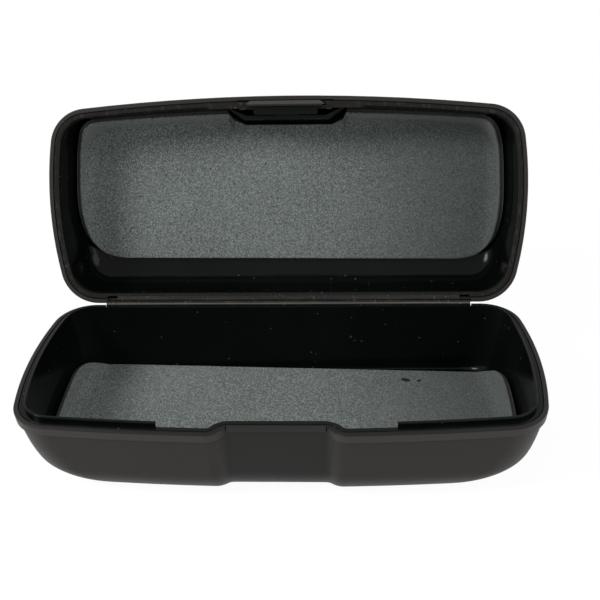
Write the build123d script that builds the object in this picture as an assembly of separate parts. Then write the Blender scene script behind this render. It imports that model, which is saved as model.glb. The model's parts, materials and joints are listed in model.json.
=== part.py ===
"""Hard sunglasses case: two moulded halves, each a matte shell round a glossy tray, on a rear pin hinge.

Lengths are in millimetres. The origin is the centre of the flat that the case rests on, +Z is up and
the thumb recess faces -Y. The lid stands open on its stop. Each half is first drawn in a mouth frame:
the mouth is the plane z = 0, the hollow lies below it, the rear edge of the rim is the line y = 0.
"""
from build123d import *

import os
from functools import lru_cache
from math import asin, cos, hypot, radians, sin, sqrt
from typing import NamedTuple

# Outline of the rim, seen from above
case_width = 170.0
case_depth = 73.1
widest_from_rear = 41.4
side_radius = 132.7
front_radius = 710.0
front_corner_radius = 13.2
rear_corner_radius = 13.7

# Height of each half and the gap between their rims when closed
base_height = 28.8
lid_height = 24.0
rim_gap = 0.3

# Collar below each rim, and the wall layers below it
collar_height = 3.4
collar_step = 0.5
collar_draft = 0.35
rim_round = 0.4
base_shell_wall = 2.0
base_tray_gap = 0.3
base_tray_wall = 1.7
lid_shell_wall = 1.3
lid_tray_gap = 0.4
lid_tray_wall = 1.2

# Rim of the trays: the flange lies in a rebate of the shell
flange_inset = 1.5
flange_clearance = 0.3
flange_thickness = 1.4
flange_round = 0.25

# Alignment lip on the base and its pocket in the lid
lip_inset = 3.5
lip_height = 1.45
lip_round = 0.3
lip_gap_width = 74.0
lip_gap_drop = 1.6
lip_gap_margin = 0.1
lip_clearance = 0.3

# Thumb recess of the base
recess_flat_width = 29.0
recess_depth_at_rim = 3.9
recess_depth_at_floor = 5.2
recess_inner_radius = 3.9
recess_shoulder_radius = 5.5

# Catch ridge let into the top of the recess
catch_width = 30.4
catch_height = 1.2
catch_depth = 1.4
catch_proud = 0.45

# Hinge
opening_angle = 117.25
axis_behind_rim = 0.5
axis_drop = 0.65
hinge_length = 129.6
knuckle_width = 3.4
knuckle_gap = 0.2
barrel_radius = 1.6
pin_radius = 0.75
pin_clearance = 0.03
pin_recess = 0.2
leaf_thickness = 0.8
leaf_height = 8.0
leaf_clearance = 0.05
leaf_cover = 1.2
web_thickness = 1.0
relief_clearance = 0.35
stop_gap = 0.1
stop_lug_reach = 3.2
stop_lug_drop = 2.3

# Latch hook, drawn by its inset from the front edge of the lid's rim
hook_outer_inset = 2.0
hook_thickness = 1.25
hook_width = 28.0
hook_outer_width = 24.4
hook_drop = 3.0
hook_barb = 0.55
hook_lever = 2.1
hook_swing_room = 0.5
pivot_inset = 3.45
pivot_height = 2.9
pivot_barrel_radius = 1.15
latch_pin_radius = 0.6
latch_pin_clearance = 0.05
latch_ear_width = 2.0
latch_clearance = 0.3

# Wide web, cover tab and latch housing of the lid's tray
web_width = 55.0
web_inset = 4.4
web_depth = 1.5
tab_width = 22.6
tab_inset = 6.6
tab_corner = 0.9
housing_inset = 8.0
housing_width = 41.0
housing_inner_width = 30.4
housing_mouth_drop = 2.6

# Leaf spring behind the hook
spring_thickness = 0.3
spring_width = 8.0
spring_gap = 0.4
spring_foot = 3.2

# Liners: bonding film, foam and suede face, from the tray inwards
tape_thickness = 0.15
foam_thickness = 1.2
suede_thickness = 0.5
bond_gap = 0.05
liner_width = 160.0
liner_front_corner = 9.0
liner_rear_corner = 18.0
liner_lift = 7.5
base_liner_depth = 56.0
base_liner_slope = 1.0
base_liner_rear_inset = 9.4
lid_liner_depth = 58.0
lid_liner_rear_inset = 13.8
cutout_width = 43.0
cutout_inner_width = 31.5
cutout_clearance = 0.4
base_cutout_width = 47.0
base_cutout_clearance = 1.5


class Form(NamedTuple):
    """Shape of one half: how far each wall leans in by the bottom, and how its bottom edge is rounded."""
    height: float
    front_lean: float
    side_lean: float
    rear_lean: float
    front_round: float
    side_round: float
    rear_round: float
    bottom_corner: float
    has_recess: bool


base_form = Form(base_height, 2.5, 4.9, 0.8, 10.5, 10.5, 2.2, 33.0, True)
lid_form = Form(lid_height, 1.2, 4.0, 2.0, 9.0, 9.0, 12.0, 18.0, False)

# Places that follow from the sizes above
front_foot_inset = collar_step + base_form.front_lean + base_form.front_round
rear_foot_inset = collar_step + base_form.rear_lean + base_form.rear_round
rear_edge_y = (case_depth - front_foot_inset - rear_foot_inset) / 2 + rear_foot_inset
axis_y = rear_edge_y + axis_behind_rim
axis_z = base_height + rim_gap / 2 - axis_drop
base_axis_z = rim_gap / 2 - axis_drop
lid_axis_z = rim_gap / 2 + axis_drop
base_skin = base_shell_wall + base_tray_gap + base_tray_wall
lid_skin = lid_shell_wall + lid_tray_gap + lid_tray_wall
hook_inner_inset = hook_outer_inset + hook_thickness


def arc(centre, start, end):
    """Circular edge about a centre, the short way from start to end."""
    radius = hypot(start[0] - centre[0], start[1] - centre[1])
    lean = (start[0] + end[0] - 2 * centre[0], start[1] + end[1] - 2 * centre[1])
    reach = radius / hypot(*lean)
    middle = (centre[0] + lean[0] * reach, centre[1] + lean[1] * reach)
    return ThreePointArc(start, middle, end)


def on_line(origin, towards, distance):
    """Point at a distance from origin on the ray through another point."""
    length = hypot(towards[0] - origin[0], towards[1] - origin[1])
    share = distance / length
    return (origin[0] + (towards[0] - origin[0]) * share, origin[1] + (towards[1] - origin[1]) * share)


def outline(z, side, front, rear, front_corner, rear_corner, recess=None):
    """Closed plan outline at height z, each wall drawn in by its inset, with the recess as arcs."""
    side_centre = (case_width / 2 - side_radius, -widest_from_rear)
    side_reach = side_radius - side
    front_centre = (0.0, front_radius - case_depth)
    front_reach = front_radius - front
    rear_y = -rear - rear_corner
    rear_x = side_centre[0] + sqrt((side_reach - rear_corner) ** 2 - (rear_y - side_centre[1]) ** 2)
    rear_point = (rear_x, rear_y)
    gap = hypot(side_centre[0] - front_centre[0], side_centre[1] - front_centre[1])
    to_side = side_reach - front_corner
    to_front = front_reach - front_corner
    along = (to_front ** 2 - to_side ** 2 + gap ** 2) / (2 * gap)
    across = sqrt(to_front ** 2 - along ** 2)
    ux = (side_centre[0] - front_centre[0]) / gap
    uy = (side_centre[1] - front_centre[1]) / gap
    corner_point = (front_centre[0] + ux * along - uy * across, front_centre[1] + uy * along + ux * across)
    rear_tangent = on_line(side_centre, rear_point, side_reach)
    side_tangent = on_line(side_centre, corner_point, side_reach)
    front_tangent = on_line(front_centre, corner_point, front_reach)
    arcs = [
        (rear_point, (rear_x, -rear), rear_tangent),
        (side_centre, rear_tangent, side_tangent),
        (corner_point, side_tangent, front_tangent),
    ]
    if recess:
        flat_inset, inner_radius, shoulder_radius = recess
        flat_y = flat_inset - case_depth
        deep = (recess_flat_width / 2, flat_y - inner_radius)
        shoulder_x = deep[0]
        for _ in range(6):
            tilt = asin(shoulder_x / (front_reach - shoulder_radius))
            shoulder = (shoulder_x, front_centre[1] - (front_reach - shoulder_radius) * cos(tilt))
            rise = shoulder[1] - deep[1]
            shoulder_x = deep[0] + sqrt((inner_radius + shoulder_radius) ** 2 - rise ** 2)
        meet = on_line(deep, shoulder, inner_radius)
        shoulder_tangent = on_line(front_centre, shoulder, front_reach)
        arcs += [
            (front_centre, front_tangent, shoulder_tangent),
            (shoulder, shoulder_tangent, meet),
            (deep, meet, (deep[0], flat_y)),
        ]
    right = [arc(*each) for each in arcs]
    left = [arc((-c[0], c[1]), (-e[0], e[1]), (-s[0], s[1])) for c, s, e in reversed(arcs)]
    last = arcs[-1][2]
    middle = Line(last, (-last[0], last[1])) if recess else arc(front_centre, last, (-last[0], last[1]))
    rear_line = Line((-rear_x, -rear), (rear_x, -rear))
    return Wire([rear_line, *right, middle, *left]).moved(Location((0, 0, z)))


def rim_prism(inset, top, bottom, recess=True, top_round=0.0):
    """Straight-walled solid over the rim's plan, drawn in by an inset, between two heights."""
    shoulder = max(recess_shoulder_radius - inset, 0.6)
    notch = (recess_depth_at_rim + inset, recess_inner_radius + inset, shoulder) if recess else None
    corners = (front_corner_radius - inset, rear_corner_radius - inset)
    face = Face(outline(bottom, inset, inset, inset, *corners, notch))
    prism = extrude(face, top - bottom, dir=(0, 0, 1))
    return fillet(prism.edges().group_by(Axis.Z)[-1], top_round) if top_round else prism


def collar(recess):
    """Band round the top of a shell: its sides and front draw in downwards, its rear is upright."""
    notch = (recess_depth_at_rim, recess_inner_radius, recess_shoulder_radius) if recess else None
    top = outline(0.0, 0.0, 0.0, 0.0, front_corner_radius, rear_corner_radius, notch)
    corners = (front_corner_radius - collar_draft, rear_corner_radius)
    low = outline(-collar_height, collar_draft, collar_draft, 0.0, *corners, notch)
    band = Solid.make_loft([top, low], ruled=True)
    return fillet(band.edges().group_by(Axis.Z)[-1], rim_round)


def section(form, skin, level, rounds, recess):
    """Plan outline of one half at a depth below its mouth, a skin inside its outer surface."""
    share = level / form.height
    bottom = form.height - skin
    bends = [r - sqrt(max(r * r - max(level - (bottom - r), 0.0) ** 2, 0.0)) for r in rounds]
    side = collar_step + skin + form.side_lean * share + bends[0]
    front = collar_step + skin + form.front_lean * share + bends[1]
    rear = collar_step + skin + form.rear_lean * share + bends[2]
    growth = (form.bottom_corner - front_corner_radius) * max(share, 0.0) ** 3
    front_corner = front_corner_radius - skin + growth - bends[0]
    rear_corner = max(rear_corner_radius - skin - 0.7 * bends[0], 2.5)
    notch = None
    if recess:
        lean = (recess_depth_at_floor - recess_depth_at_rim) * share
        flat_inset = recess_depth_at_rim + skin + lean + bends[1]
        notch = (flat_inset, recess_inner_radius + skin, max(recess_shoulder_radius - skin, 0.6))
    return outline(-level, side, front, rear, front_corner, rear_corner, notch)


@lru_cache(maxsize=None)
def hull(form, skin, above=0.0, recess=None):
    """Solid of one half, a skin inside its outer surface below the collar, reaching above the mouth."""
    has_recess = form.has_recess if recess is None else recess
    bottom = form.height - skin
    rounds = [max(r - skin, 0.8) for r in (form.side_round, form.front_round, form.rear_round)]
    start = bottom - max(rounds)
    walls = [-above + (start + above) * step / 3 for step in range(4)]
    bends = [start + max(rounds) * sin(radians(18 * step)) for step in range(6)]
    lofts = []
    for levels in (walls, bends):
        lofts.append(Solid.make_loft([section(form, skin, level, rounds, has_recess) for level in levels]))
    return lofts[0] + lofts[1]


def box(x_low, x_high, y_low, y_high, z_low, z_high):
    """Box between two corners."""
    size = (x_high - x_low, y_high - y_low, z_high - z_low)
    middle = ((x_low + x_high) / 2, (y_low + y_high) / 2, (z_low + z_high) / 2)
    return Pos(*middle) * Box(*size)


def rod(radius, x_low, x_high, y=0.0, z=0.0):
    """Cylinder along X."""
    return Pos((x_low + x_high) / 2, y, z) * Rot(Y=90) * Cylinder(radius, x_high - x_low)


def bar(points, width, x_middle=0.0):
    """Straight bar along X whose section is the polygon through (y, z) points."""
    face = Plane.YZ * make_face(Polyline(*points, close=True))
    return Pos(x_middle - width / 2, 0, 0) * extrude(face, width, dir=(1, 0, 0))


def solid(shape):
    """The single solid of a result."""
    found = shape.solids()
    if len(found) != 1:
        raise ValueError(f"expected one solid, found {len(found)}")
    return found[0]


def shell_of(form, wall, recess):
    """Matte moulding of one half: collar and wall, open at the mouth, with the rebate for the flange."""
    shape = hull(form, 0.0, recess=recess)
    shape += collar(recess)
    shape -= hull(form, wall, above=1.0, recess=recess)
    shape -= rim_prism(flange_inset, 1.0, -flange_thickness, recess)
    return shape


def tray_of(form, outer_skin, inner_skin, recess):
    """Glossy moulding of one half: a flange that lies in the shell's rebate over a thin-walled tray."""
    shape = hull(form, outer_skin, recess=recess)
    shape += rim_prism(flange_inset + flange_clearance, 0.0, -flange_thickness, recess, flange_round)
    return shape - hull(form, inner_skin, above=lip_height + 1.0, recess=recess)


def make_base_shell():
    shape = shell_of(base_form, base_shell_wall, True)
    front_y = -case_depth + recess_depth_at_rim
    half = catch_width / 2 + flange_clearance
    shape -= box(-half, half, front_y - 2, front_y + catch_depth - catch_proud, -catch_height, 1)
    shape -= hinge_relief(base_axis_z)
    shape -= leaf_pocket(leaf_height)
    reach = base_shell_wall + collar_step + 1
    for x_low, x_high in knuckle_spans(knuckle_gap):
        shape -= box(x_low, x_high, -reach, 1, -arm_depth() - leaf_clearance, 1)
    return solid(shape)


def make_base_tray():
    shape = tray_of(base_form, base_shell_wall + base_tray_gap, base_skin, True)
    gap = box(-lip_gap_width / 2, lip_gap_width / 2, -case_depth, -case_depth / 2, -lip_gap_drop, lip_height + 1)
    lip = rim_prism(lip_inset, lip_height, -flange_thickness) - gap
    lip = fillet(lip.edges().group_by(Axis.Z)[-1], lip_round)
    shape += lip - hull(base_form, base_skin, above=lip_height + 1.0)
    shape -= gap & rim_prism(lip_inset - lip_gap_margin, lip_height + 1, -lip_gap_drop)
    inner = leaf_inner_y() - leaf_clearance
    for x_low, x_high in knuckle_spans(knuckle_gap):
        shape -= box(x_low, x_high, inner, 1, -leaf_height, 1)
    return solid(shape)


def make_base_catch():
    front_y = -case_depth + recess_depth_at_rim - catch_proud
    shape = box(-catch_width / 2, catch_width / 2, front_y, front_y + catch_depth, -catch_height, 0)
    return solid(shape)


def leaf_outer_y():
    """Outer face of a hinge leaf, in the mouth frame: what is left of the shell's wall covers it."""
    return -collar_step - leaf_cover - leaf_clearance


def leaf_inner_y():
    """Inner face of a hinge leaf."""
    return leaf_outer_y() - leaf_thickness


def arm_depth():
    """Depth below the mouth of the arms that carry the end knuckles."""
    return barrel_radius - base_axis_z


def knuckle_spans(grow=0.0):
    """X range of each end knuckle, grown at both faces."""
    half = hinge_length / 2
    return [(-half - grow, -half + knuckle_width + grow), (half - knuckle_width - grow, half + grow)]


def hinge_relief(height):
    """Round groove that frees the rear rim from the barrel, whose centre is at a height over the mouth."""
    half = hinge_length / 2 + relief_clearance
    return rod(barrel_radius + relief_clearance, -half, half, axis_behind_rim, height)


def leaf_pocket(height):
    """Pocket for a leaf in the inner face of a shell's rear wall."""
    half = hinge_length / 2 + leaf_clearance
    outer = leaf_outer_y() + leaf_clearance
    return box(-half, half, outer - leaf_thickness - 3, outer, -height - leaf_clearance, 0.0)


def make_base_leaf():
    """Strip inside the rear wall with an arm, a knuckle and a stop lug at each end."""
    half = hinge_length / 2
    shape = box(-half, half, leaf_inner_y(), leaf_outer_y(), -leaf_height, -flange_thickness - leaf_clearance)
    for x_low, x_high in knuckle_spans():
        shape += box(x_low, x_high, leaf_inner_y(), axis_behind_rim, -arm_depth(), base_axis_z)
        shape += rod(barrel_radius, x_low, x_high, axis_behind_rim, base_axis_z)
        shape += stop_lug(x_low, x_high)
    for x_low, x_high in knuckle_spans():
        shape -= rod(pin_radius + pin_clearance, x_low - 1, x_high + 1, axis_behind_rim, base_axis_z)
    return solid(shape)


def stop_lug(x_low, x_high):
    """Wedge behind the knuckle whose top face meets the rear of the open lid's collar."""
    lean = radians(opening_angle - 90)
    offset = axis_behind_rim - stop_gap
    foot = (axis_behind_rim + offset * sin(lean), base_axis_z + offset * cos(lean))
    end = (foot[0] + stop_lug_reach * cos(lean), foot[1] - stop_lug_reach * sin(lean))
    low = base_axis_z - stop_lug_drop
    return bar([foot, end, (end[0], low), (foot[0], low)], x_high - x_low, (x_low + x_high) / 2)


def make_lid_leaf():
    """Strip in the lid's rear wall whose web bends out to the long barrel."""
    half = hinge_length / 2 - knuckle_width - knuckle_gap
    shape = box(-half, half, leaf_inner_y(), leaf_outer_y(), -leaf_height, 0)
    shape += box(-half, half, leaf_inner_y(), axis_behind_rim, -web_thickness, 0)
    shape += rod(barrel_radius, -half, half, axis_behind_rim, lid_axis_z)
    shape -= rod(pin_radius + pin_clearance, -half - 1, half + 1, axis_behind_rim, lid_axis_z)
    return solid(shape)


def make_hinge_pin():
    half = hinge_length / 2 - pin_recess
    return solid(rod(pin_radius, -half, half, axis_behind_rim, base_axis_z))


def front_span(inset_low, inset_high):
    """Y range between two insets from the lid's front edge."""
    return (-case_depth + inset_low, -case_depth + inset_high)


def housing_plan(grow):
    """Trapezoid plan of the latch housing, grown outwards."""
    wide = housing_width / 2 + grow
    narrow = housing_inner_width / 2 + grow
    near = -case_depth + web_inset
    deep = -case_depth + housing_inset + grow
    points = [(-wide, -case_depth), (wide, -case_depth), (wide, near), (narrow, deep), (-narrow, deep), (-wide, near)]
    return make_face(Polyline(*points, close=True))


def housing_prism(grow, top, bottom):
    """Latch housing between two heights."""
    face = Pos(0, 0, bottom) * housing_plan(grow)
    return extrude(face, top - bottom, dir=(0, 0, 1))


def hook_plan(width, outer_width, low, high):
    """Trapezoid plan of the hook, narrower at its outer face."""
    y_low, y_high = front_span(low, high)
    points = [(-outer_width / 2, y_low), (outer_width / 2, y_low), (width / 2, y_high), (-width / 2, y_high)]
    return make_face(Polyline(*points, close=True))


def hook_slot_plan():
    """Plan of the slot in the tray's web: the hook's plan, and straight sides where it swings outwards."""
    slant = (hook_width - hook_outer_width) / 2 / hook_thickness
    bend = flange_inset + flange_clearance + flange_round + 0.05
    outer = hook_outer_width / 2 + latch_clearance + slant * (bend - hook_outer_inset + hook_swing_room)
    inner = outer + slant * (hook_inner_inset + latch_clearance - bend)
    y_low, y_high = front_span(hook_outer_inset - hook_swing_room, hook_inner_inset + latch_clearance)
    y_bend = -case_depth + bend
    points = [(-outer, y_low), (outer, y_low), (outer, y_bend), (inner, y_high), (-inner, y_high), (-outer, y_bend)]
    return make_face(Polyline(*points, close=True))


def make_lid_shell():
    shape = shell_of(lid_form, lid_shell_wall, False)
    shape -= hinge_relief(lid_axis_z)
    shape -= leaf_pocket(leaf_height)
    half = hinge_length / 2 + leaf_clearance
    shape -= box(-half, half, leaf_inner_y() - 1, 1, -web_thickness - leaf_clearance, 1)
    room = hook_width / 2 + latch_ear_width + 3 * latch_clearance
    y_low, y_high = front_span(hook_outer_inset - hook_swing_room, housing_inset)
    shape -= box(-room, room, y_low, y_high, -pivot_height - hook_lever - latch_clearance, 1)
    return solid(shape)


def make_lid_tray():
    outer = hull(lid_form, lid_shell_wall + lid_tray_gap)
    outer += rim_prism(flange_inset + flange_clearance, 0.0, -flange_thickness, False, flange_round)
    cavity = hull(lid_form, lid_skin, above=1.0)
    cavity += rim_prism(lip_inset - lip_clearance, 1.0, -lip_height - rim_gap, False)
    web_y = front_span(0.0, web_inset)
    cavity -= box(-web_width / 2, web_width / 2, *web_y, -web_depth, 2)
    cavity -= housing_prism(0.0, -housing_mouth_drop, -lid_height)
    tab_y = front_span(web_inset - 1, tab_inset)
    tab = box(-tab_width / 2, tab_width / 2, *tab_y, -web_depth, 2)
    cavity -= fillet(tab.edges().filter_by(Axis.Z).group_by(Axis.Y)[-1], tab_corner)
    shape = outer - cavity
    roof = lid_height - lid_skin
    hollow = housing_prism(-lid_tray_wall, -web_depth, -roof)
    shape -= hollow
    shape -= extrude(Pos(0, 0, -web_depth - 1) * hook_slot_plan(), web_depth + 3, dir=(0, 0, 1))
    shape += latch_ears()
    inner = leaf_inner_y() - leaf_clearance
    half = hinge_length / 2 + leaf_clearance
    shape -= box(-half, half, inner, 1, -leaf_height, 1)
    return solid(shape)


def pivot_place():
    """Centre of the hook's pivot in the mouth frame of the lid."""
    return (-case_depth + pivot_inset, -pivot_height)


def latch_ears():
    """Two ears that hold the ends of the latch pin, between the flange and the pin."""
    y, z = pivot_place()
    low = z - pivot_barrel_radius
    back_y = -case_depth + web_inset + 0.4
    front_y = -case_depth + pivot_inset - pivot_barrel_radius
    inner = hook_width / 2 + latch_clearance
    shapes = []
    for side in (-1, 1):
        x_low, x_high = sorted((side * inner, side * (inner + latch_ear_width)))
        ear = box(x_low, x_high, front_y, back_y, low, -flange_thickness + 0.2)
        shapes.append(ear - rod(latch_pin_radius + latch_pin_clearance, x_low - 1, x_high + 1, y, z))
    return shapes


def make_latch_pin():
    y, z = pivot_place()
    half = hook_width / 2 + latch_clearance + latch_ear_width - pin_recess
    return solid(rod(latch_pin_radius, -half, half, y, z))


def make_latch_hook():
    """Plate that hangs from the pin, with a barb along its lower inner edge and a lever above the pin."""
    y, z = pivot_place()
    top = z - hook_lever
    plan = hook_plan(hook_width, hook_outer_width, hook_outer_inset, hook_inner_inset)
    shape = extrude(Pos(0, 0, top) * plan, hook_drop - top, dir=(0, 0, 1))
    shape += rod(pivot_barrel_radius, -hook_width / 2, hook_width / 2, y, z)
    inner_y = -case_depth + hook_inner_inset
    barb_top = rim_gap + catch_height + 0.2
    points = [
        (inner_y - 0.4, barb_top), (inner_y + hook_barb, barb_top),
        (inner_y + hook_barb, barb_top + 0.4), (inner_y - 0.2, hook_drop), (inner_y - 0.4, hook_drop),
    ]
    shape += bar(points, hook_width - 2.0)
    shape -= rod(latch_pin_radius + latch_pin_clearance, -hook_width, hook_width, y, z)
    return solid(shape)


def make_latch_spring():
    """Steel strip that stands on the housing's back wall and leans on the hook's lever."""
    wall_y = -case_depth + housing_inset - lid_tray_wall - bond_gap
    _, z = pivot_place()
    foot_low = z - spring_foot
    tip_y = -case_depth + hook_inner_inset + spring_gap
    tip_z = z - hook_lever + 0.6
    t = spring_thickness
    points = [
        (wall_y, z), (wall_y, foot_low), (wall_y - 0.6, foot_low - t), (tip_y, tip_z - t),
        (tip_y, tip_z), (wall_y - t - 0.2, foot_low + 0.1), (wall_y - t, z),
    ]
    return solid(bar(points, spring_width))


def liner_plan(rear_inset, depth, slope):
    """Plan of a liner sheet whose rear edge runs askew by an angle."""
    half = liner_width / 2
    rise = half * sin(radians(slope))
    low = -rear_inset - depth
    points = [(-half, rise - rear_inset), (half, -rise - rear_inset), (half, low), (-half, low)]
    sheet = make_face(Polyline(*points, close=True))
    sheet = fillet(sheet.vertices().group_by(Axis.Y)[0], liner_front_corner)
    return fillet(sheet.vertices().sort_by(Axis.Y)[-2:], liner_rear_corner)


def base_cutout_plan():
    """Rectangle that the floor's sheet leaves round the recess."""
    half = base_cutout_width / 2
    inset = recess_depth_at_floor + base_form.front_round + base_cutout_clearance
    points = [(-half, -case_depth), (half, -case_depth), (half, inset - case_depth), (-half, inset - case_depth)]
    return make_face(Polyline(*points, close=True))


def lid_cutout_plan():
    """Trapezoid that the lid's sheet leaves round the latch housing."""
    wide = cutout_width / 2
    narrow = cutout_inner_width / 2
    near = -case_depth + web_inset
    deep = -case_depth + housing_inset + cutout_clearance
    points = [(-wide, -case_depth), (wide, -case_depth), (wide, near), (narrow, deep), (-narrow, deep), (-wide, near)]
    return make_face(Polyline(*points, close=True))


def liner_layer(form, skin, thickness, plan):
    """One layer of a liner, on the tray's floor and up its rounded edge."""
    bottom = -form.height + skin
    prism = extrude(Pos(0, 0, bottom - 1) * plan, liner_lift + 1, dir=(0, 0, 1))
    layer = hull(form, skin, recess=False) - hull(form, skin + thickness, above=1.0, recess=False)
    return solid(layer & prism)


def liner_layers(form, skin, plan):
    """Film, foam and suede of one half, each a bond gap from the last."""
    layers = []
    for thickness in (tape_thickness, foam_thickness, suede_thickness):
        skin += bond_gap
        layers.append(liner_layer(form, skin, thickness, plan))
        skin += thickness
    return layers


def place_base(shape):
    """Mouth frame to the part's frame, for pieces of the base."""
    return Pos(0, rear_edge_y, base_height) * shape


def place_lid(shape):
    """Mouth frame to the part's frame, for pieces of the lid, turned open about the hinge."""
    closed = Pos(0, rear_edge_y, base_height + rim_gap) * mirror(shape, about=Plane.XY)
    return closed.rotate(Axis((0, axis_y, axis_z), (1, 0, 0)), -opening_angle)


def main():
    base_plan = liner_plan(base_liner_rear_inset, base_liner_depth, base_liner_slope) - base_cutout_plan()
    lid_plan = liner_plan(lid_liner_rear_inset, lid_liner_depth, 0.0) - lid_cutout_plan()
    base_tape, base_foam, base_suede = liner_layers(base_form, base_skin, base_plan)
    lid_tape, lid_foam, lid_suede = liner_layers(lid_form, lid_skin, lid_plan)
    base_pieces = {
        "base_shell": make_base_shell(),
        "base_tray": make_base_tray(),
        "base_catch": make_base_catch(),
        "base_hinge_leaf": make_base_leaf(),
        "hinge_pin": make_hinge_pin(),
        "base_liner_tape": base_tape,
        "base_liner_foam": base_foam,
        "base_liner_suede": base_suede,
    }
    lid_pieces = {
        "lid_shell": make_lid_shell(),
        "lid_tray": make_lid_tray(),
        "lid_hinge_leaf": make_lid_leaf(),
        "lid_liner_tape": lid_tape,
        "lid_liner_foam": lid_foam,
        "lid_liner_suede": lid_suede,
        "latch_pin": make_latch_pin(),
        "latch_hook": make_latch_hook(),
        "latch_spring": make_latch_spring(),
    }
    os.makedirs("parts", exist_ok=True)
    for name, shape in base_pieces.items():
        export_step(place_base(shape), f"parts/{name}.step")
    for name, shape in lid_pieces.items():
        export_step(place_lid(shape), f"parts/{name}.step")


main()
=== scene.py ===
"""Looks of the open sunglasses case: moulded shells and trays, laid liners, hinge, latch and a stage."""
import json

import bpy
import numpy as np
from mathutils import Matrix


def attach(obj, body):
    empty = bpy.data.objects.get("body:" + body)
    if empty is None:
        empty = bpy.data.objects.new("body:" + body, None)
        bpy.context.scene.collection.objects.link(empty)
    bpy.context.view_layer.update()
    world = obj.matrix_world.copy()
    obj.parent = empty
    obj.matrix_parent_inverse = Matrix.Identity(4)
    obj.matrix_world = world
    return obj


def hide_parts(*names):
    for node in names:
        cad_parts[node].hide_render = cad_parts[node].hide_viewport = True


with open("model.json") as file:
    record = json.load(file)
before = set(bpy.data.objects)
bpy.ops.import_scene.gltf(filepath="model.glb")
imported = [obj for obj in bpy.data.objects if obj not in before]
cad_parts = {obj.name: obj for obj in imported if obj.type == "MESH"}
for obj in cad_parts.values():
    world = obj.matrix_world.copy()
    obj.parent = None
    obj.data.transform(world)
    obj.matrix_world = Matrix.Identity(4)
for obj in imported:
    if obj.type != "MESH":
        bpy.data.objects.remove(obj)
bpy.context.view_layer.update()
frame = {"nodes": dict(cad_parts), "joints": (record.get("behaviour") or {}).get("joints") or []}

bl_info = {
    "name": "Sunglasses case",
    "version": (1, 0, 0),
    "blender": (4, 5, 0),
    "location": "View3D > Sidebar > Case",
    "description": "Dresses a hard sunglasses case and lays its liners",
    "category": "Object",
}

# Lengths are in metres.
HINGE = next(joint for joint in frame["joints"] if joint["name"] == "lid_hinge")
AXIS_Y, AXIS_Z = HINGE["pos_m"][1], HINGE["pos_m"][2]
OPENING = np.radians(117.25)
REAR_EDGE = AXIS_Y - 0.0005
BASE_HEIGHT = 0.0288
RIM_GAP = 0.0003
COLLAR_STEP = 0.0005
COLLAR_HEIGHT = 0.0034

# Each half: its height, how far its walls lean in over it, the radius from wall to floor (turn) and that of
# the floor's corners, and the thickness from outside to the tray's inner face (skin). Then its liner: how far
# its rear edge is from the half's rear edge, its corner radii, its shift along X, and its cut-out: the width
# at the front edge, the width at the far side, and the far side's distance from the front of the rim.
HALVES = {
    "base": dict(
        height=BASE_HEIGHT, front_lean=0.0025, side_lean=0.0049, turn=0.0105, corner=0.033, skin=0.004,
        rear=0.0074, rear_corner=0.018, front_corner=0.012, shift=0.0010, cut=(0.047, 0.047, 0.0172)),
    "lid": dict(
        height=0.024, front_lean=0.0012, side_lean=0.0040, turn=0.009, corner=0.018, skin=0.0029,
        rear=0.0147, rear_corner=0.022, front_corner=0.009, shift=0.0, cut=(0.043, 0.0315, 0.0084)),
}
CUT_MOUTH = 0.0044  # from the front of the rim to where the cut-out opens
NO_CUT = -1.0  # a place in front of every liner
CORNER_SHIFT = 1e-7  # sets a column just past the cut-out's corner
EDGE_COLUMN = 0.0003  # the last column but one, in from the side edge
FADE = 0.02  # the distance from a liner's front edge over which its shear comes in
LAYER_GAP = 0.00005
EDGE_SINK = 0.3  # share of its thickness by which a layer is thinner at its cut edge
WAVE_HEIGHT = 0.00004  # of each of the suede's two waves
SMOOTH_ANGLE = 40.0  # in degrees, from which on an edge is sharp

# The base shell's skin: painted shade darkens the recess between two distances off the middle, in front of a
# plane. A painted highlight makes the collar lighter over a height above its foot, painted shade darkens the
# rim's top, fading in between two heights, and the shut line rises and falls about that foot.
THUMB_SHADE_FADE = (0.0178, 0.0150)
THUMB_SHADE_BACK = -0.02
COLLAR_HIGHLIGHT_FADE = 0.0004
RIM_TOP_SHADE = (BASE_HEIGHT - 0.0006, BASE_HEIGHT - 0.0003)
SHUT_LINE = ((-0.0005, -0.0002), (0.0002, -0.0001))

# The lid tray's land and the painted highlight along its inner edge, in distances from the lid's mouth plane,
# with the latch's half width and lowest height.
LAND_FADE = (0.0007, 0.0004)
LAND_HIGHLIGHT_BAND = ((0.0002, 0.0004), (0.0018, 0.0014))
LATCH_HALF = 0.0125
LATCH_FOOT = 0.08

# Ink marks on the floor liner: place in X and Y, half width, half depth and tilt.
MARKS = ((0.0420, 0.0169, 0.0018, 0.0010, -0.4), (0.0467, 0.0163, 0.0009, 0.0007, 0.4))
OFF_FLOOR = 4000.0  # weight of the height that keeps the marks off the lid's liner
BARREL_HIGHLIGHT_FADE = (0.0003, 0.00012)  # distances off the barrel's painted highlight line over which it fades in

MATTE_DUST = (0.1, 0.097, 0.09, 1.0)
SHUT_LINE_BROWN = (0.0035, 0.0022, 0.0015, 1.0)
LAND_DULL = (0.016, 0.015, 0.013, 1.0)
LAND_MARK = (0.05, 0.05, 0.045, 1.0)
# Painted highlight along the lid land's inner edge.
LAND_HIGHLIGHT = (0.10, 0.10, 0.095, 1.0)
GLOSS_DUST = (0.16, 0.165, 0.16, 1.0)
SUEDE_DUST = (0.5, 0.51, 0.48, 1.0)
INK = (0.001, 0.001, 0.001, 1.0)
GREASE = (0.028, 0.025, 0.016, 1.0)
SCRATCH = (0.12, 0.115, 0.1, 1.0)
# Painted highlight along the hinge barrel.
BARREL_HIGHLIGHT = (0.17, 0.165, 0.15, 1.0)
CAUGHT_DUST = (0.2, 0.19, 0.16, 1.0)
WHITE = (1, 1, 1, 1)

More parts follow.
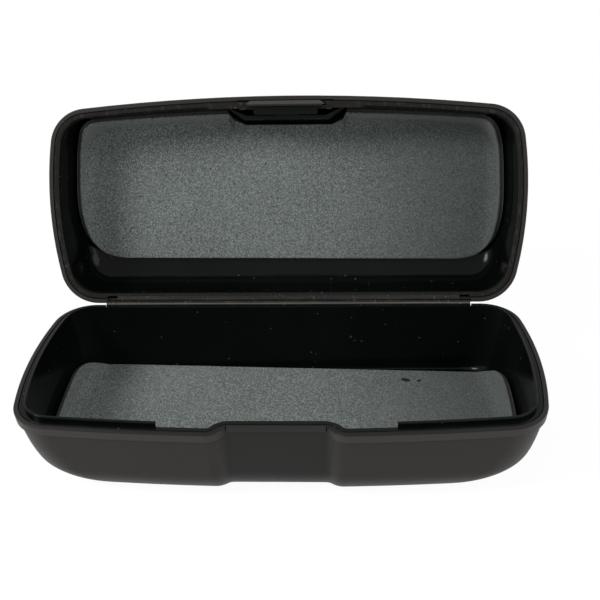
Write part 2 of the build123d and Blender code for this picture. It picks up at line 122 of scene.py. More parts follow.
FILM_COLOUR = (0.6, 0.58, 0.5)
FOAM_COLOUR = (0.03, 0.03, 0.03)
LEAF_COLOUR = (0.006, 0.006, 0.0055)
STEEL_COLOUR = (0.45, 0.45, 0.44)
SPRING_COLOUR = (0.02, 0.02, 0.024)
HOOK_COLOUR = (0.05, 0.05, 0.048)
HOOK_GRAIN = 0.0003
CATCH_SHADE = 0.9

FLOOR_REACH = 4
FLOOR_GLOW = 1.06
GLOW_SHARE = 0.9
LAMP_AIM = (0, 0, 0.03)
LAMP_SIDE = (0, 1, 0.001)  # a direction in which no lamp faces
KEY_PLACE, KEY_SIZE = (-0.85, -0.35, 0.75), 0.35
FILL_PLACE, FILL_SIZE = (0.85, -0.30, 0.70), 0.6

# The camera fitted to the rims in the photograph: lens and sensor in millimetres, then its axes and its place
# in the case's frame.
LENS, SENSOR = 66.754, 36.0
CAMERA_RIGHT = (0.99876, 0.03957, -0.03029)
CAMERA_UP = (0.00392, 0.54372, 0.83926)
CAMERA_AHEAD = (-0.04968, 0.83834, -0.54288)
CAMERA_PLACE = (0.024287, AXIS_Y - 0.331870, AXIS_Z + 0.216635)

# The colour sockets of a Mix node, whose names repeat.
MIX_FACTOR, MIX_FIRST, MIX_SECOND, MIX_RESULT = 0, 6, 7, 2


class Signal:
    """One value on its way through a node tree. Arithmetic on it adds Math nodes, and | takes the larger."""

    def __init__(self, nodes, socket):
        self.nodes = nodes
        self.socket = socket

    def _math(self, operation, left, right):
        return self.nodes.node("ShaderNodeMath", {"operation": operation}, {0: left, 1: right})

    def __add__(self, other):
        return self._math("ADD", self, other)

    __radd__ = __add__

    def __mul__(self, other):
        return self._math("MULTIPLY", self, other)

    __rmul__ = __mul__

    def __sub__(self, other):
        return self._math("SUBTRACT", self, other)

    def __rsub__(self, other):
        return self._math("SUBTRACT", other, self)

    def __or__(self, other):
        return self._math("MAXIMUM", self, other)

    def __gt__(self, other):
        return self._math("GREATER_THAN", self, other)

    def __lt__(self, other):
        return self._math("LESS_THAN", self, other)


class Nodes:
    """The emptied node tree of a world or material. Its nodes all come from one method."""

    def __init__(self, owner):
        owner.use_nodes = True
        self.tree = owner.node_tree
        self.tree.nodes.clear()

    def node(self, kind, settings=None, inputs=None, output=0):
        """Adds a node: its settings first, then the value or link of each socket. Gives an output."""
        made = self.tree.nodes.new(kind)
        for key, value in (settings or {}).items():
            setattr(made, key, value)
        for key, value in (inputs or {}).items():
            if isinstance(value, Signal):
                self.tree.links.new(value.socket, made.inputs[key])
            else:
                made.inputs[key].default_value = value
        return Signal(self, made.outputs[output]) if len(made.outputs) else None

    def sees_white(self):
        """1 for camera, gloss and glass rays, which find the background white, and 0 for the others."""
        camera = self.node("ShaderNodeLightPath", output="Is Camera Ray")
        gloss = self.node("ShaderNodeLightPath", output="Is Glossy Ray")
        glass = self.node("ShaderNodeLightPath", output="Is Transmission Ray")
        return camera | gloss | glass


class Finish(Nodes):
    """The node tree of a new material."""

    def __init__(self, name):
        self.material = bpy.data.materials.new(name)
        super().__init__(self.material)

    def place(self, scale=(1.0, 1.0, 1.0)):
        """Object coordinates, each stretched by its scale."""
        raw = self.node("ShaderNodeTexCoord", output="Object")
        return self.node("ShaderNodeMapping", inputs={"Vector": raw, "Scale": scale})

    def across(self, axis):
        """The Object coordinate on the axis X, Y or Z."""
        return self.node("ShaderNodeSeparateXYZ", inputs={"Vector": self.place()}, output=axis)

    def noise(self, scale, detail=2.0, roughness=0.5, at=None):
        """Fractal noise from 0 to 1, scale in features per metre."""
        place = at or self.place()
        inputs = {"Vector": place, "Scale": scale, "Detail": detail, "Roughness": roughness}
        return self.node("ShaderNodeTexNoise", inputs=inputs)

    def cells(self, scale, output):
        """Cells about scattered points, scale in cells per metre."""
        inputs = {"Vector": self.place(), "Scale": scale}
        return self.node("ShaderNodeTexVoronoi", {"feature": "F1"}, inputs, output)

    def specks(self, scale, size, share):
        """Mask of small round specks in a share of the cells, size in cells."""
        near, centre = self.cells(scale, "Distance"), self.cells(scale, "Position")
        chance = self.node("ShaderNodeTexWhiteNoise", inputs={"Vector": centre})
        return self.blend(near, size, size * 0.5) * (chance < share)

    def blend(self, value, start, end):
        """Smooth step of a value: 0 at start, 1 at end."""
        inputs = {"Value": value, "From Min": start, "From Max": end}
        return self.node("ShaderNodeMapRange", {"interpolation_type": "SMOOTHSTEP"}, inputs)

    def band(self, value, origin, rise, fall):
        """Smooth band of a value: up between two distances from the origin and down between two others."""
        up, down = (self.blend(value, *(origin + far for far in pair)) for pair in (rise, fall))
        return up * down

    def mix(self, mask, first, second):
        """Colour between two others by a mask."""
        inputs = {MIX_FACTOR: mask, MIX_FIRST: first, MIX_SECOND: second}
        return self.node("ShaderNodeMix", {"data_type": "RGBA"}, inputs, MIX_RESULT)

    def bump(self, height, distance, strength, below=None):
        """Normal from a height, over another normal."""
        inputs = {"Height": height, "Distance": distance, "Strength": strength}
        if below:
            inputs["Normal"] = below
        return self.node("ShaderNodeBump", inputs=inputs)

    def close(self, shader):
        """The material, with a shader as its surface."""
        self.node("ShaderNodeOutputMaterial", inputs={"Surface": shader})
        return self.material

    def surface(self, **inputs):
        """The material, with a Principled surface. A socket's name has _ for each space."""
        named = {key.replace("_", " "): value for key, value in inputs.items()}
        return self.close(self.node("ShaderNodeBsdfPrincipled", inputs=named))


def rgba(colour, gain=1.0):
    """Colour with alpha, brightened by a gain."""
    return (*[min(channel * gain, 1.0) for channel in colour[:3]], 1.0)


def moulded_matte(name, colour, grain, collar=None):
    """Spark-eroded matte plastic: even fine grain, slow tone drift, a little dust.

    From the height of the collar's foot up to the rim the skin is painted lighter, a painted highlight, and a
    shut line runs round that foot. Painted shade darkens the rim's top and the thumb recess.
    """
    finish = Finish(name)
    drift = finish.noise(38.0, detail=3.0)
    pits = finish.noise(1.0 / grain, detail=3.0, roughness=0.6)
    dust = finish.specks(520.0, size=0.16, share=0.10)
    tone = finish.mix(finish.blend(drift, 0.35, 0.65), rgba(colour, 0.88), rgba(colour, 1.12))
    tone = finish.mix(finish.blend(pits, 0.3, 0.7) * 0.35, tone, rgba(colour, 1.5))
    normal = finish.bump(pits, distance=0.00012, strength=0.5)
    if collar:
        height, side = finish.across("Z"), finish.across("X")
        # Painted shade darkens the thumb recess, in the middle of the front.
        middle = finish.blend(side * side, *(off ** 2 for off in THUMB_SHADE_FADE))
        thumb_shade = middle * (finish.across("Y") < THUMB_SHADE_BACK)
        around = 1.0 - thumb_shade
        # Painted highlight: the collar lighter from its foot up, beside the recess.
        collar_highlight = finish.blend(height, collar, collar + COLLAR_HIGHLIGHT_FADE) * around
        groove = finish.band(height, collar, *SHUT_LINE) * around
        tone = finish.mix(collar_highlight * 0.8, tone, rgba(colour, 3.0))
        # Painted shade darkens the rim's top.
        tone = finish.mix(finish.blend(height, *RIM_TOP_SHADE), tone, rgba(colour, 0.1))
        tone = finish.mix(thumb_shade * 0.8, tone, rgba(colour, 0.1))
        tone = finish.mix(groove, tone, SHUT_LINE_BROWN)
        normal = finish.bump(1.0 - groove, distance=0.0004, strength=0.8, below=normal)
    return finish.surface(
        Base_Color=finish.mix(dust * 0.2, tone, MATTE_DUST),
        Roughness=0.42 + 0.14 * drift,
        Normal=normal,
        Specular_IOR_Level=0.29,
    )


def polished_black(name, colour, roughness, land=False):
    """Gloss moulding: handling haze, fine dust, faint flow ripple.

    The land of the open lid is rubbed dull where it meets the base, with short cross marks, but for the tab
    over the latch. A painted highlight, a faint lighter line, runs below it along the rounded inner edge. How
    deep a point lies is its distance from the plane of the lid's mouth, which is swung open about the hinge.
    """
    finish = Finish(name)
    haze = finish.noise(26.0, detail=4.0, roughness=0.6)
    ripple = finish.noise(90.0, detail=1.0)
    dust = finish.specks(430.0, size=0.15, share=0.14)
    lint = finish.specks(150.0, size=0.085, share=0.12)
    grime_and_highlight = finish.mix(finish.blend(haze, 0.45, 0.75) * 0.5, rgba(colour), rgba(colour, 2.2))
    if land:
        sin, cos = np.sin(OPENING), np.cos(OPENING)
        side, height = finish.across("X"), finish.across("Z")
        level = sin * finish.across("Y") + cos * height
        mouth = sin * AXIS_Y + cos * AXIS_Z + BASE_HEIGHT + RIM_GAP - AXIS_Z
        marks = finish.noise(1.0, roughness=0.6, at=finish.place(scale=(900.0, 260.0, 260.0)))
        rubbed = finish.mix(finish.blend(marks, 0.56, 0.66) * 0.6, LAND_DULL, LAND_MARK)
        beside = 1.0 - (side * side < LATCH_HALF ** 2) * (height > LATCH_FOOT)
        dull = finish.blend(level, *(mouth + far for far in LAND_FADE)) * beside
        grime_and_highlight = finish.mix(dull, grime_and_highlight, rubbed)
        # Painted highlight: a faint lighter line below the land.
        grime_and_highlight = finish.mix(finish.band(level, mouth, *LAND_HIGHLIGHT_BAND) * 0.8, grime_and_highlight, LAND_HIGHLIGHT)
    return finish.surface(
        Base_Color=finish.mix(dust * 0.5 + lint * 0.5, grime_and_highlight, GLOSS_DUST),
        Roughness=roughness + 0.12 * finish.blend(haze, 0.4, 0.8) + 0.35 * dust,
        Normal=finish.bump(ripple, distance=0.0004, strength=0.12),
        Specular_IOR_Level=0.09,
    )


def napped_suede(name, colour):
    """Short-napped suede: speckle of fibre tips, brushed patches, nap sheen, painted shade darker towards +X.

    Two ink marks lie near the floor liner's rear edge, each an ellipse about its place on the floor, skewed
    by its tilt and ragged at its edge.
    """
    finish = Finish(name)
    side, ahead, height = (finish.across(axis) for axis in "XYZ")
    fibre = finish.noise(2100.0, roughness=0.7)
    fleck = finish.noise(1300.0, roughness=0.7)
    patch = finish.noise(22.0, detail=3.0, roughness=0.55)
    dust = finish.specks(330.0, size=0.13, share=0.05)
    pits = finish.specks(470.0, size=0.2, share=0.2)
    tone = finish.mix(finish.blend(patch, 0.3, 0.7), rgba(colour, 0.88), rgba(colour, 1.1))
    tone = finish.mix(finish.blend(fibre, 0.48, 0.6) * 0.75, tone, rgba(colour, 2.5))
    tone = finish.mix(finish.blend(fleck, 0.53, 0.64) * 0.6, tone, rgba(colour, 0.35))
    tone = finish.mix(pits * 0.8, tone, rgba(colour, 0.12))
    # Painted shade: darker towards +X.
    tone = finish.mix(finish.blend(side, 0.0, 0.06) * 0.6, tone, rgba(colour, 0.4))
    tone = finish.mix(dust * 0.3, tone, SUEDE_DUST)
    ragged = finish.noise(900.0)
    for x, y, wide, deep, tilt in MARKS:
        dx, dy = side * (1 / wide) - x / wide, ahead * (1 / deep) - y / deep
        dy = dy - tilt * dx
        spread = dx * dx + dy * dy + height * height * OFF_FLOOR + ragged
        tone = finish.mix(finish.blend(spread, 1.6, 1.4), tone, INK)
    return finish.surface(
        Base_Color=tone,
        Roughness=0.86 + 0.1 * patch,
        Normal=finish.bump(fibre, distance=0.0003, strength=0.55),
        Sheen_Weight=0.25,
        Sheen_Roughness=0.45,
        Specular_IOR_Level=0.2,
    )


def cell_foam(name, colour):
    """Closed-cell foam: small pores."""
    finish = Finish(name)
    pores = finish.cells(2400.0, "Distance")
    return finish.surface(
        Base_Color=finish.mix(finish.blend(pores, 0.1, 0.5), rgba(colour, 0.5), rgba(colour, 1.2)),
        Roughness=0.9 - 0.1 * pores,
        Normal=finish.bump(pores, distance=0.0002, strength=0.6),
    )


def clear_film(name, colour):
    """Bonding film: cloudy with trapped air."""
    finish = Finish(name)
    cloud = finish.noise(160.0, detail=3.0)
    return finish.surface(
        Base_Color=finish.mix(finish.blend(cloud, 0.4, 0.65), rgba(colour, 0.75), rgba(colour, 1.1)),
        Roughness=0.35 + 0.2 * cloud,
        Normal=finish.bump(cloud, distance=0.0002, strength=0.2),
    )


def drawn_metal(name, colour, roughness):
    """Drawn metal: streaks along X, light handling wear."""
    finish = Finish(name)
    streak = finish.noise(1.0, detail=3.0, roughness=0.6, at=finish.place(scale=(60.0, 5200.0, 5200.0)))
    wear = finish.noise(120.0, detail=4.0, roughness=0.65)
    tone = finish.mix(finish.blend(streak, 0.3, 0.7) * 0.6, rgba(colour, 0.85), rgba(colour, 1.25))
    return finish.surface(
        Base_Color=finish.mix(finish.blend(wear, 0.62, 0.8) * 0.4, tone, rgba(colour, 2.2)),
        Metallic=1.0,
        Roughness=roughness + 0.15 * streak,
        Normal=finish.bump(streak, distance=0.00004, strength=0.3),
    )


def painted_leaf(name, colour):
    """Black painted leaf: greasy smears along it, caught dust, scratches, a painted highlight along the
    barrel.

    The highlight is a line where y + z equals the axis's, halfway between the barrel's top and its front.
    """
    finish = Finish(name)
    smear = finish.noise(1.0, detail=3.0, roughness=0.6, at=finish.place(scale=(90.0, 700.0, 700.0)))
    scratch = finish.noise(1.0, at=finish.place(scale=(1500.0, 420.0, 420.0)))
    caught = finish.specks(760.0, size=0.2, share=0.16)
    off = finish.across("Y") + finish.across("Z") - (AXIS_Y + AXIS_Z)
    # Painted highlight: a thin lighter line along the barrel.
    line = finish.blend(off * off, *(half ** 2 for half in BARREL_HIGHLIGHT_FADE))
    tone = finish.mix(finish.blend(smear, 0.45, 0.7) * 0.7, rgba(colour, 0.7), GREASE)
    tone = finish.mix(finish.blend(scratch, 0.66, 0.72) * 0.7, tone, SCRATCH)
    tone = finish.mix(line * (0.45 + 0.5 * smear), tone, BARREL_HIGHLIGHT)
    return finish.surface(
        Base_Color=finish.mix(caught * 0.6, tone, CAUGHT_DUST),
        Roughness=0.12 + 0.2 * smear,
        Normal=finish.bump(smear, distance=0.0001, strength=0.3),
        Specular_IOR_Level=0.3,
    )


class CaseShape(bpy.types.PropertyGroup):
    case_width: bpy.props.FloatProperty(
        name="Width", description="Width of the rim", default=0.170, unit="LENGTH")
    case_depth: bpy.props.FloatProperty(
        name="Depth", description="Depth of the rim", default=0.0731, unit="LENGTH")
    side_radius: bpy.props.FloatProperty(
        name="Side radius", description="Radius of the bowed sides", default=0.1327, unit="LENGTH")
    front_radius: bpy.props.FloatProperty(
        name="Front radius", description="Radius of the bowed front", default=0.710, unit="LENGTH")
    corner_radius: bpy.props.FloatProperty(
        name="Corner radius", description="Radius of the front corners at the rim",
        default=0.0132, unit="LENGTH")
    widest: bpy.props.FloatProperty(
        name="Widest", description="Distance from the rear edge to the widest place",
        default=0.0414, unit="LENGTH")


class LinerShape(bpy.types.PropertyGroup):
    base_width: bpy.props.FloatProperty(
        name="Base width", description="Cut width of the floor liner", default=0.1650, unit="LENGTH")
    lid_width: bpy.props.FloatProperty(
        name="Lid width", description="Cut width of the lid liner", default=0.1660, unit="LENGTH")
    base_depth: bpy.props.FloatProperty(
        name="Base depth", description="Cut depth of the floor liner", default=0.056, unit="LENGTH")
    lid_depth: bpy.props.FloatProperty(
        name="Lid depth", description="Cut depth of the lid liner", default=0.0615, unit="LENGTH")
    suede: bpy.props.FloatProperty(
        name="Suede", description="Thickness of the suede", default=0.0005, unit="LENGTH")
    foam: bpy.props.FloatProperty(
        name="Foam", description="Thickness of the foam", default=0.0012, unit="LENGTH")
    film: bpy.props.FloatProperty(
        name="Film", description="Thickness of the film", default=0.00015, unit="LENGTH")
    skew: bpy.props.FloatProperty(
        name="Skew", description="How crooked the floor liner's rear edge lies",
        default=np.radians(2.2), subtype="ANGLE")
    turn: bpy.props.FloatProperty(
        name="Turn", description="How crooked the lid liner's rear edge lies",
        default=np.radians(0.5), subtype="ANGLE")
    colour: bpy.props.FloatVectorProperty(
        name="Suede colour", description="Colour of the suede", default=(0.145, 0.165, 0.155),
        subtype="COLOR")


class PlasticFinish(bpy.types.PropertyGroup):
    shell: bpy.props.FloatVectorProperty(
        name="Shell", description="Colour of the matte shells", default=(0.0135, 0.0120, 0.0095),
        subtype="COLOR")
    tray: bpy.props.FloatVectorProperty(
        name="Tray", description="Colour of the gloss trays", default=(0.0030, 0.0036, 0.0036),
        subtype="COLOR")
    grain: bpy.props.FloatProperty(
        name="Grain", description="Size of the matte grain", default=0.00035, unit="LENGTH", precision=5)
    tray_roughness: bpy.props.FloatProperty(
        name="Tray roughness", description="Roughness of the gloss", default=0.13, subtype="FACTOR")


class StageLook(bpy.types.PropertyGroup):
    floor: bpy.props.FloatVectorProperty(
        name="Floor", description="Colour of the floor", default=(0.86, 0.86, 0.86), subtype="COLOR")
    key_power: bpy.props.FloatProperty(
        name="Key", description="Power of the key light", default=7.0, unit="POWER")
    fill_power: bpy.props.FloatProperty(
        name="Fill", description="Power of the fill light", default=2.5, unit="POWER")
    world: bpy.props.FloatProperty(name="World", description="Strength of the even light", default=0.36)


GROUPS = {
    "case_shape": CaseShape,
    "case_liner": LinerShape,
    "case_plastic": PlasticFinish,
    "case_stage": StageLook,
}


def give(node, material):
    """Puts a material on a node that keeps its moulded shape."""
    piece = frame["nodes"][node]
    piece.data.materials.clear()
    piece.data.materials.append(material)


def build_mesh(name, points, faces, material, body):
    """Object at the origin from a point array and a face array, riding on a body."""
    mesh = bpy.data.meshes.new(name)
    mesh.from_pydata(points.tolist(), [], faces.tolist())
    mesh.validate()
    mesh.polygons.foreach_set("use_smooth", np.ones(len(mesh.polygons), bool))
    mesh.set_sharp_from_angle(angle=np.radians(SMOOTH_ANGLE))
    mesh.materials.append(material)
    piece = bpy.data.objects.new(name, mesh)
    bpy.context.scene.collection.objects.link(piece)
    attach(piece, body)
    return piece


def rolled(half, lift, x, y, shape):
    """Lays flat points (x, y) into a half's tray, lifted off the tray by a distance along its normal.

    Inside the flat floor a point stays where it is. A point a distance e outside the floor's outline goes
    round the edge's arc of radius r by the angle e / r, then on along the leaning wall, and the lift draws it
    in to the radius r - lift. The outline is a side circle, a front circle and a corner circle that touches
    both, so e is the distance past the nearest one.
    """
    skin = half["skin"]
    bottom = half["height"] - skin
    turn = half["turn"] - skin
    share = bottom / half["height"]
    side = COLLAR_STEP + skin + half["side_lean"] * share + turn
    front = COLLAR_STEP + skin + half["front_lean"] * share + turn
    corner = shape.corner_radius - skin + (half["corner"] - shape.corner_radius) * share ** 3 - turn
    sx, sy = shape.case_width / 2 - shape.side_radius, -shape.widest
    fx, fy = 0.0, shape.front_radius - shape.case_depth
    side_r, front_r = shape.side_radius - side, shape.front_radius - front
    gap = np.hypot(sx - fx, sy - fy)
    to_side, to_front = side_r - corner, front_r - corner
    along = (to_front ** 2 - to_side ** 2 + gap ** 2) / (2 * gap)
    across = np.sqrt(to_front ** 2 - along ** 2)
    ux, uy = (sx - fx) / gap, (sy - fy) / gap
    kx, ky = fx + ux * along - uy * across, fy + uy * along + ux * across
    ax = np.abs(x)
    rows = []
    for cx, cy, radius in ((sx, sy, side_r), (fx, fy, front_r), (kx, ky, corner)):
        reach = np.hypot(ax - cx, y - cy)
        rows.append((reach - radius, (ax - cx) / reach, (y - cy) / reach))
    past_side = (kx - sx) * (y - ky) - (ky - sy) * (ax - kx) < 0
    past_front = (kx - fx) * (y - ky) - (ky - fy) * (ax - kx) > 0
    in_corner = past_side & past_front
    take_side = rows[0][0] > rows[1][0]
    past, out_x, out_y = (
        np.where(in_corner, by_corner, np.where(take_side, by_side, by_front))
        for by_side, by_front, by_corner in zip(*rows))
    over = np.maximum(past, 0.0)
    steepest = np.pi / 2 - np.arctan(half["side_lean"] / half["height"])
    angle = np.minimum(over / turn, steepest)
    extra = over - angle * turn
    out = (turn - lift) * np.sin(angle) + extra * np.cos(steepest)
    px = np.sign(x) * (ax - out_x * over + out_x * out)
    py = y - out_y * over + out_y * out
    pz = -bottom + turn - (turn - lift) * np.cos(angle) + extra * np.sin(steepest)
    return px, py, pz


def seated(name, x, y, z):
    """Mouth frame of a half to the case's frame; the lid is turned over and swung open about the hinge."""
    if name == "base":
        return np.stack([x, y + REAR_EDGE, z + BASE_HEIGHT], -1)
    dy, dz = y + REAR_EDGE - AXIS_Y, BASE_HEIGHT + RIM_GAP - z - AXIS_Z
    cos, sin = np.cos(OPENING), np.sin(OPENING)
    return np.stack([x, dy * cos + dz * sin + AXIS_Y, -dy * sin + dz * cos + AXIS_Z], -1)


def liner_grid(half, wide, depth, depth_of_case, trim):
    """Flat grid of a liner: x runs across, y from the rear edge to the front edge at that x.

    The rear edge is straight with round corners, the front edge too, with a trapezoid cut-out whose corners
    are two of the grid's columns. Columns and rows crowd towards the cut edge. trim draws the edge in.
    """
    wide = wide / 2 - trim
    rear = -half["rear"] - trim
    front = -half["rear"] - depth + trim
    rear_corner, front_corner = half["rear_corner"], half["front_corner"]
    mouth_width, far_width, far_side = half["cut"]
    mouth, far = mouth_width / 2 + trim, far_width / 2 + trim
    mouth_y, far_y = -depth_of_case + CUT_MOUTH, -depth_of_case + far_side + trim

    behind = np.linspace(0, far, 8)
    beside = np.linspace(far, mouth, 5)[1:] + CORNER_SHIFT
    between = np.linspace(mouth, wide - rear_corner, 22)[1:-1]
    crowd = np.sin(np.linspace(0, np.pi / 2, 14))
    ends = np.union1d(wide - rear_corner + rear_corner * crowd, [wide - EDGE_COLUMN])
    x = np.concatenate([behind, beside, between, ends])
    x = np.unique(np.round(np.concatenate([-x, x]), 8))
    ax = np.abs(x)

    def rounded(edge, corner, sign):
        into = np.clip(ax - (wide - corner), 0, corner)
        return edge + sign * (corner - np.sqrt(np.maximum(corner ** 2 - into ** 2, 0)))

    slope = np.clip((mouth - ax) / max(mouth - far, 1e-6), 0, 1)
    cut_y = np.where(ax < mouth, mouth_y + (far_y - mouth_y) * slope, NO_CUT)
    rear_y = rounded(rear, rear_corner, -1)
    front_y = np.maximum(rounded(front, front_corner, 1), cut_y)
    rows = np.concatenate([[0, 0.004], np.linspace(0.012, 0.988, 30), [0.996, 1]])
    return np.repeat(x[:, None], len(rows), 1), rear_y[:, None] + (front_y - rear_y)[:, None] * rows[None]


def lay_liner(part, layer, above, thickness, material, slot, node, trim):
    """One closed layer of a liner, with its flat area: a face grid, a back grid and a rim between them.

    The face sinks by a share of the thickness over its outermost ring, so the cut edge is soft. The liner is
    sheared, so that its rear edge lies crooked and its front edge straight. The suede has slow low waves.
    """
    scene = bpy.context.scene
    shape, liner = scene.case_shape, scene.case_liner
    half = HALVES[part]
    width, depth = getattr(liner, f"{part}_width"), getattr(liner, f"{part}_depth")
    x, y = liner_grid(half, width, depth, shape.case_depth, trim)
    slant = -np.tan(liner.skew) if part == "base" else np.tan(liner.turn)
    y = y + x * slant * np.clip((y - y.min()) / FADE, 0, 1)
    x = x + half["shift"]
    count_x, count_y = x.shape
    edge = np.zeros_like(x)
    edge[[0, -1], :] = 1
    edge[:, [0, -1]] = 1
    wave = WAVE_HEIGHT * (np.sin(x * 310 + 1.7 * np.sin(y * 170)) + np.sin(y * 260 + x * 90))
    face = above + thickness - edge * thickness * EDGE_SINK + wave * (slot == "suede") * (1 - edge)
    back = np.full_like(face, above)
    points = [seated(part, *rolled(half, lift, x, y, shape)).reshape(-1, 3) for lift in (face, back)]
    index = np.arange(count_x * count_y).reshape(count_x, count_y)
    quads = np.stack([index[:-1, :-1], index[:-1, 1:], index[1:, 1:], index[1:, :-1]], -1).reshape(-1, 4)
    under = quads[:, ::-1] + index.size
    ring = np.concatenate([index[0, :-1], index[:-1, -1], index[-1, :0:-1], index[:0:-1, 0]])
    after = np.roll(ring, -1)
    rim = np.stack([after, ring, ring + index.size, after + index.size], -1)
    order = -1 if part == "base" else 1
    faces = np.concatenate([quads, under, rim])[:, ::order]
    piece = build_mesh(f"{part}_{layer}", np.concatenate(points), faces, material, part)
    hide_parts(node)
    twice_area = np.abs(np.cross(
        np.stack([x[1:, 1:] - x[:-1, :-1], y[1:, 1:] - y[:-1, :-1]], -1),
        np.stack([x[:-1, 1:] - x[1:, :-1], y[:-1, 1:] - y[1:, :-1]], -1)))
    return piece, float(twice_area.sum() / 2)


class DressShells(bpy.types.Operator):
    """Matte grain on both shells and the catch ridge"""
    bl_idname = "case.dress_shells"
    bl_label = "Dress shells"

    def execute(self, context):
        plastic = context.scene.case_plastic
        foot = BASE_HEIGHT - COLLAR_HEIGHT
        give("base_shell", moulded_matte("matte_base", plastic.shell, plastic.grain, foot))
        give("lid_shell", moulded_matte("matte_lid", plastic.shell, plastic.grain))
        ridge = [channel * CATCH_SHADE for channel in plastic.shell]
        give("base_catch", moulded_matte("catch_ridge", ridge, plastic.grain))
        return {"FINISHED"}


class DressTrays(bpy.types.Operator):
    """Polished black on both trays"""
    bl_idname = "case.dress_trays"
    bl_label = "Dress trays"

    def execute(self, context):
        plastic = context.scene.case_plastic
        give("base_tray", polished_black("gloss_tray", plastic.tray, plastic.tray_roughness))
        give("lid_tray", polished_black("gloss_lid", plastic.tray, plastic.tray_roughness, land=True))
        return {"FINISHED"}


class LayLiners(bpy.types.Operator):
    """Film, foam and suede laid into both trays"""
    bl_idname = "case.lay_liners"
    bl_label = "Lay liners"

    def execute(self, context):
        liner = context.scene.case_liner
        # Each layer's name, thickness, material, slot, node, and how far its edge is drawn in.
        layers = (
            ("film", liner.film, clear_film("bond_film", FILM_COLOUR), "tape", "liner_tape", 0.0006),
            ("foam", liner.foam, cell_foam("liner_foam", FOAM_COLOUR), "foam", "liner_foam", 0.0003),
            ("suede", liner.suede, napped_suede("liner_suede", liner.colour), "suede", "liner_suede", 0.0),
        )
        for part in ("base", "lid"):
            above = LAYER_GAP
            for layer, thickness, material, slot, node, trim in layers:
                piece, area = lay_liner(part, layer, above, thickness, material, slot, f"{part}_{node}", trim)
                above += thickness + LAYER_GAP
                if slot == "foam":
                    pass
                elif slot == "suede":
                    flat = (getattr(liner, f"{part}_width"), getattr(liner, f"{part}_depth"))
        return {"FINISHED"}


class DressHinge(bpy.types.Operator):
    """Black leaves, steel pins and a blued spring"""
    bl_idname = "case.dress_hinge"
    bl_label = "Dress hinge"

    def execute(self, context):
        leaf = painted_leaf("black_leaf", LEAF_COLOUR)
        give("base_hinge_leaf", leaf)
        give("lid_hinge_leaf", leaf)
        steel = drawn_metal("bright_steel", STEEL_COLOUR, roughness=0.25)
        give("hinge_pin", steel)
        give("latch_pin", steel)
        give("latch_spring", drawn_metal("blued_spring", SPRING_COLOUR, roughness=0.4))
        return {"FINISHED"}


class DressLatch(bpy.types.Operator):
    """Satin grey on the latch hook"""
    bl_idname = "case.dress_latch"
    bl_label = "Dress latch"

    def execute(self, context):
        give("latch_hook", moulded_matte("satin_hook", HOOK_COLOUR, HOOK_GRAIN))
        return {"FINISHED"}


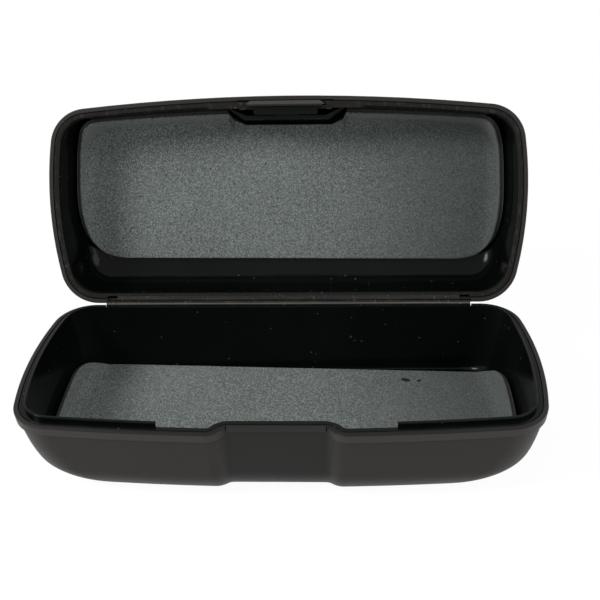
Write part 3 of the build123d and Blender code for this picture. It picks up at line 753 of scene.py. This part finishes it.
class SetStage(bpy.types.Operator):
    """Pale floor, soft lamps and the camera"""
    bl_idname = "case.set_stage"
    bl_label = "Set stage"

    def execute(self, context):
        scene = context.scene
        look = scene.case_stage
        self.lay_floor(scene, look.floor)
        self.light_world(scene, look.world)
        self.hang_lamp(scene, "key", KEY_PLACE, KEY_SIZE, look.key_power)
        self.hang_lamp(scene, "fill", FILL_PLACE, FILL_SIZE, look.fill_power)
        self.place_camera(scene)
        scene.view_settings.view_transform = "Standard"
        return {"FINISHED"}

    @staticmethod
    def lay_floor(scene, colour):
        """Plain floor that glows nearly white for the rays that find the background white."""
        finish = Finish("pale_floor")
        plain = finish.node("ShaderNodeBsdfDiffuse", inputs={"Color": rgba(colour)})
        bright = finish.node("ShaderNodeEmission", inputs={"Color": WHITE, "Strength": FLOOR_GLOW})
        glowing = finish.node("ShaderNodeMixShader", inputs={0: GLOW_SHARE, 1: plain, 2: bright})
        shown = finish.node("ShaderNodeMixShader", inputs={0: finish.sees_white(), 1: plain, 2: glowing})
        mesh = bpy.data.meshes.new("floor")
        corners = [(x * FLOOR_REACH, y * FLOOR_REACH, 0) for x, y in ((-1, -1), (1, -1), (1, 1), (-1, 1))]
        mesh.from_pydata(corners, [], [(0, 1, 2, 3)])
        mesh.materials.append(finish.close(shown))
        floor = bpy.data.objects.new("floor", mesh)
        scene.collection.objects.link(floor)

    @staticmethod
    def light_world(scene, strength):
        """White for the rays that find the background white, an even light of a strength for the others."""
        world = bpy.data.worlds.new("even_light")
        nodes = Nodes(world)
        level = nodes.node("ShaderNodeMapRange", inputs={"Value": nodes.sees_white(), "To Min": strength})
        light = nodes.node("ShaderNodeBackground", inputs={"Color": WHITE, "Strength": level})
        nodes.node("ShaderNodeOutputWorld", inputs={"Surface": light})
        scene.world = world

    @staticmethod
    def hang_lamp(scene, name, place, size, power):
        """Round soft lamp at a place, facing the case."""
        lamp = bpy.data.lights.new(name, "AREA")
        lamp.shape = "DISK"
        lamp.size = size
        lamp.energy = power
        away = np.array(place, float) - np.array(LAMP_AIM, float)
        away /= np.linalg.norm(away)
        right = np.cross(LAMP_SIDE, away)
        right /= np.linalg.norm(right)
        pose = np.eye(4)
        for column, axis in enumerate((right, np.cross(away, right), away, place)):
            pose[:3, column] = axis
        hung = bpy.data.objects.new(name, lamp)
        hung.matrix_world = Matrix(pose.tolist())
        scene.collection.objects.link(hung)

    @staticmethod
    def place_camera(scene):
        """The camera of the photograph."""
        lens = bpy.data.cameras.new("camera")
        lens.sensor_width = SENSOR
        lens.lens = LENS
        lens.clip_start = 0.01
        camera = bpy.data.objects.new("camera", lens)
        behind = [-part for part in CAMERA_AHEAD]
        rows = [list(row) for row in zip(CAMERA_RIGHT, CAMERA_UP, behind, CAMERA_PLACE)]
        camera.matrix_world = Matrix(rows + [[0, 0, 0, 1]])
        scene.collection.objects.link(camera)
        scene.camera = camera


OPERATORS = (DressShells, DressTrays, LayLiners, DressHinge, DressLatch, SetStage)


class CasePanel(bpy.types.Panel):
    bl_idname = "VIEW3D_PT_case"
    bl_label = "Sunglasses case"
    bl_space_type = "VIEW_3D"
    bl_region_type = "UI"
    bl_category = "Case"

    def draw(self, context):
        for group in GROUPS:
            settings = getattr(context.scene, group)
            for name in settings.__annotations__:
                self.layout.prop(settings, name)
        for operator in OPERATORS:
            self.layout.operator(operator.bl_idname)


def register():
    for group in (*GROUPS.values(), *OPERATORS, CasePanel):
        bpy.utils.register_class(group)
    for name, group in GROUPS.items():
        setattr(bpy.types.Scene, name, bpy.props.PointerProperty(type=group))


def unregister():
    for name in GROUPS:
        delattr(bpy.types.Scene, name)
    for group in (CasePanel, *OPERATORS, *GROUPS.values()):
        bpy.utils.unregister_class(group)


def main():
    register()
    for operator in OPERATORS:
        group, name = operator.bl_idname.split(".")
        getattr(getattr(bpy.ops, group), name)()


if __name__ == "__main__":
    main()
